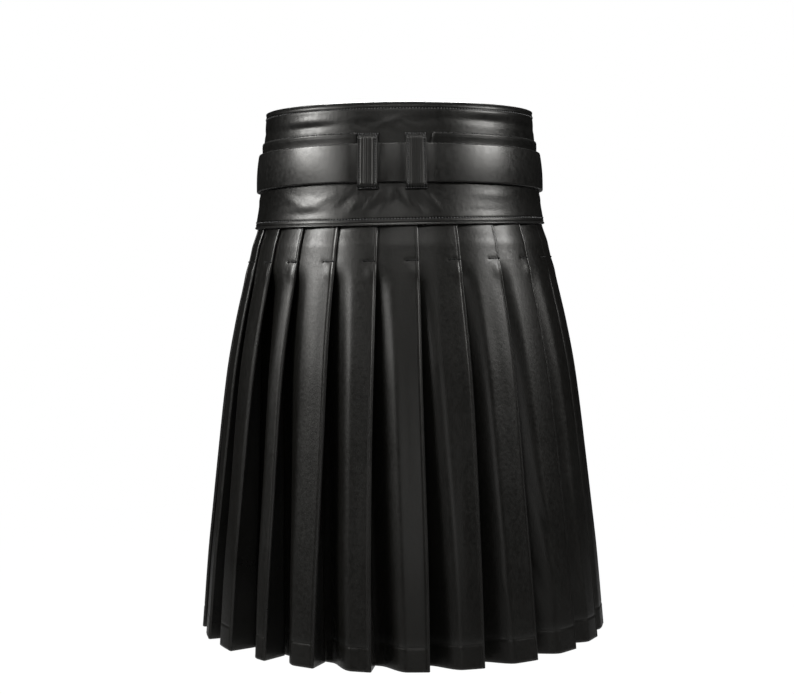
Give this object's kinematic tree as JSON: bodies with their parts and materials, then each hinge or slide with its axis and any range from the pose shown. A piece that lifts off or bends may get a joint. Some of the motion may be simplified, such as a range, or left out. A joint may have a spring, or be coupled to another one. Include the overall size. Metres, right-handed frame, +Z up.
{
  "type": "leather knife-pleated kilt with belt",
  "caption": "Black leather kilt: knife pleats round the back and hips, plain wrap-over front, tall shaped waistband, and a wide belt held by two loops at the back.",
  "frame": {"origin": "middle of the waist opening, level with the top edge at the centre back, where the wearer's waist holds the kilt", "axes": "+Z up; the back of the garment faces +Y and its front faces -Y; the wearer's right is -X"},
  "size_m": [0.4731, 0.3746, 0.6157],
  "materials": {
    "skirt_leather": "satin smooth black garment leather",
    "band_leather": "satin smooth black leather",
    "belt_leather": "smooth black belt leather",
    "dark_metal": "plain dark nickel"
  },
  "bodies": {
    "root": {"waistband": "band_leather", "pleat_01": "skirt_leather", "pleat_02": "skirt_leather", "pleat_03": "skirt_leather", "pleat_04": "skirt_leather", "pleat_05": "skirt_leather", "pleat_06": "skirt_leather", "pleat_07": "skirt_leather", "pleat_08": "skirt_leather", "pleat_09": "skirt_leather", "pleat_10": "skirt_leather", "pleat_11": "skirt_leather", "pleat_12": "skirt_leather", "pleat_13": "skirt_leather", "pleat_14": "skirt_leather", "under_apron": "skirt_leather", "front_apron": "skirt_leather", "backing_left": "band_leather", "backing_right": "band_leather", "belt": "belt_leather", "loop_left": "belt_leather", "loop_right": "belt_leather", "buckle_plate": "dark_metal", "snap_1": "dark_metal", "snap_2": "dark_metal", "snap_3": "dark_metal", "snap_4": "dark_metal"}
  },
  "joints": []
}
